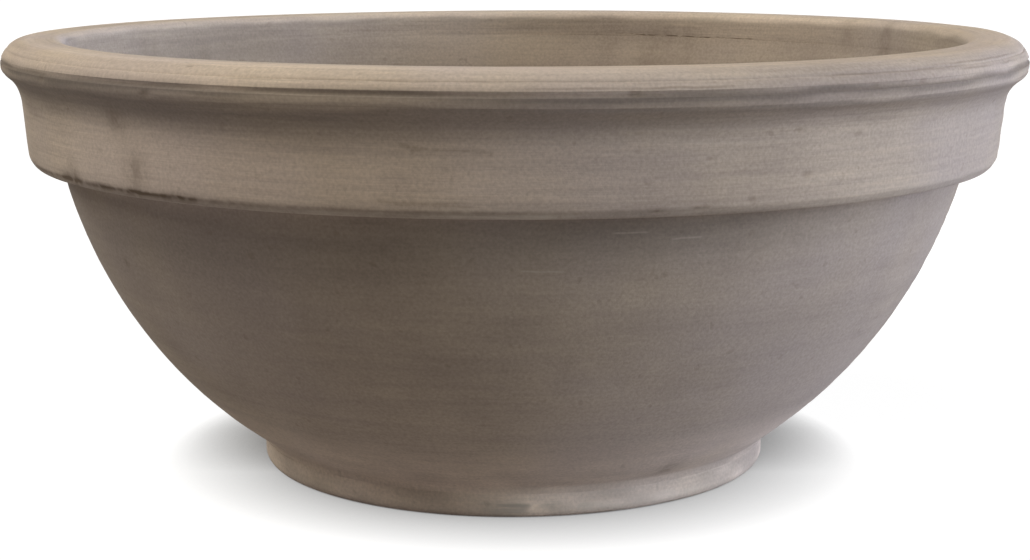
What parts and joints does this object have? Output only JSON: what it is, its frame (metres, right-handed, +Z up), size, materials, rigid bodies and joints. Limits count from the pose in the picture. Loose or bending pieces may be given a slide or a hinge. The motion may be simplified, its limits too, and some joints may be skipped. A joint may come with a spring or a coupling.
{
  "type": "low bowl planter",
  "caption": "Low round bowl planter in unglazed clay: curved wall on a stepped foot ring, undercut rim band, rolled and grooved lip, drain hole in the floor.",
  "frame": {"origin": "centre of the pot at the level it stands on", "axes": "+Z up along the axis that the pot is turned about; the pot is round, so +X and +Y are free"},
  "size_m": [0.4199, 0.42, 0.18],
  "materials": {
    "body_clay": "unglazed grey-brown earthenware, matt, wiped smooth with faint level wiping lines and a purple-grey cast",
    "rim_clay": "the same unglazed earthenware, paler and tanner where the rim was sponged, with pits and scratches",
    "foot_clay": "the same unglazed earthenware, rubbed pale and dusty where it stands on the ground"
  },
  "bodies": {
    "root": {"foot_ring": "foot_clay", "floor_slab": "body_clay", "bowl_wall": "body_clay", "rim_band": "rim_clay", "rim_lip": "rim_clay"}
  },
  "joints": []
}
